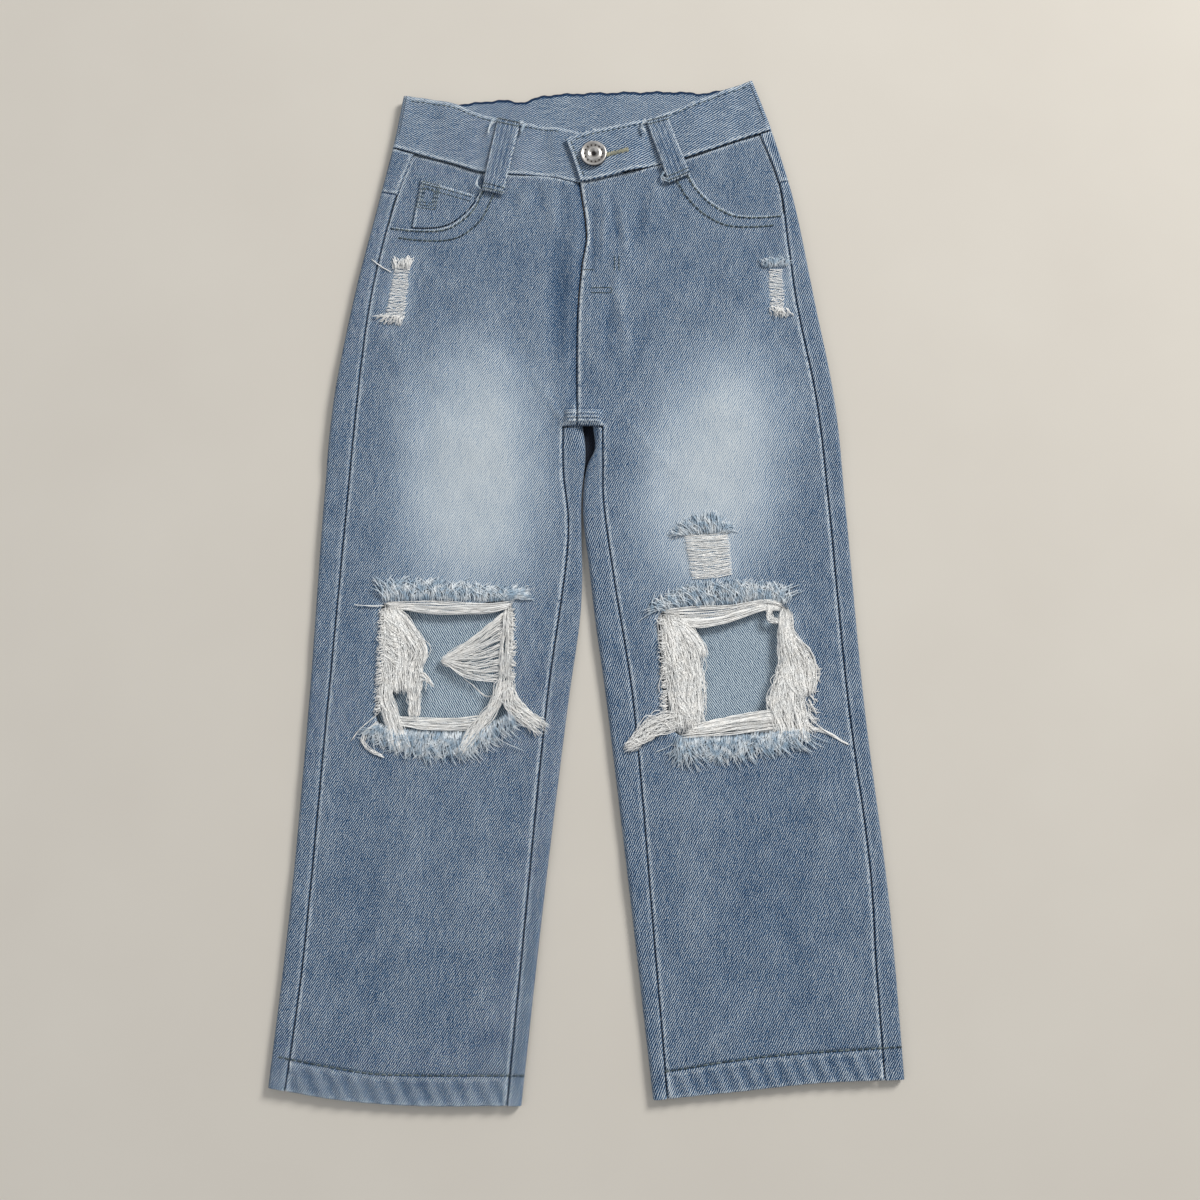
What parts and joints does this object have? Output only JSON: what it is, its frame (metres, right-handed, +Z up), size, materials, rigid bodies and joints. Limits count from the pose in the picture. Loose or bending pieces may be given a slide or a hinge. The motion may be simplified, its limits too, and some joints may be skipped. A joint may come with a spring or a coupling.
{
  "type": "pair of ripped jeans laid flat",
  "caption": "Child's straight-leg jeans with an elasticated back waist, laid flat front up, faded and torn open at both knees with frayed white threads.",
  "frame": {"origin": "centre of the garment's outline, on the surface that it lies on", "axes": "+Z up out of the front of the jeans, +Y towards the waistband, +X towards the wearer's left"},
  "size_m": [0.354, 0.6179, 0.012],
  "materials": {
    "denim": "washed mid-blue twill, faded at the thighs, paler along the seams",
    "loose_thread": "undyed cotton weft, frayed",
    "button_metal": "worn silver-grey metal, stamped with plain dots",
    "zip_metal": "plain, hidden under the fly"
  },
  "bodies": {
    "root": {"front_right": "denim", "front_left": "denim", "back_right": "denim", "back_left": "denim", "yoke_right": "denim", "yoke_left": "denim", "waistband_front_right": "denim", "waistband_front_left": "denim", "waistband_back": "denim", "pocket_facing_right": "denim", "pocket_facing_left": "denim", "coin_pocket": "denim", "back_pocket_right": "denim", "back_pocket_left": "denim", "fly_underlap": "denim", "belt_loop_front_right": "denim", "belt_loop_front_left": "denim", "belt_loop_back_right": "denim", "belt_loop_back_centre": "denim", "belt_loop_back_left": "denim", "knee_fringe_right_top": "loose_thread", "knee_fringe_right_side": "loose_thread", "knee_fringe_right_bottom": "loose_thread", "knee_fringe_left_top": "loose_thread", "knee_fringe_left_inner": "loose_thread", "knee_fringe_left_outer": "loose_thread", "knee_fringe_left_bottom": "loose_thread", "button": "button_metal", "zip": "zip_metal"}
  },
  "joints": []
}
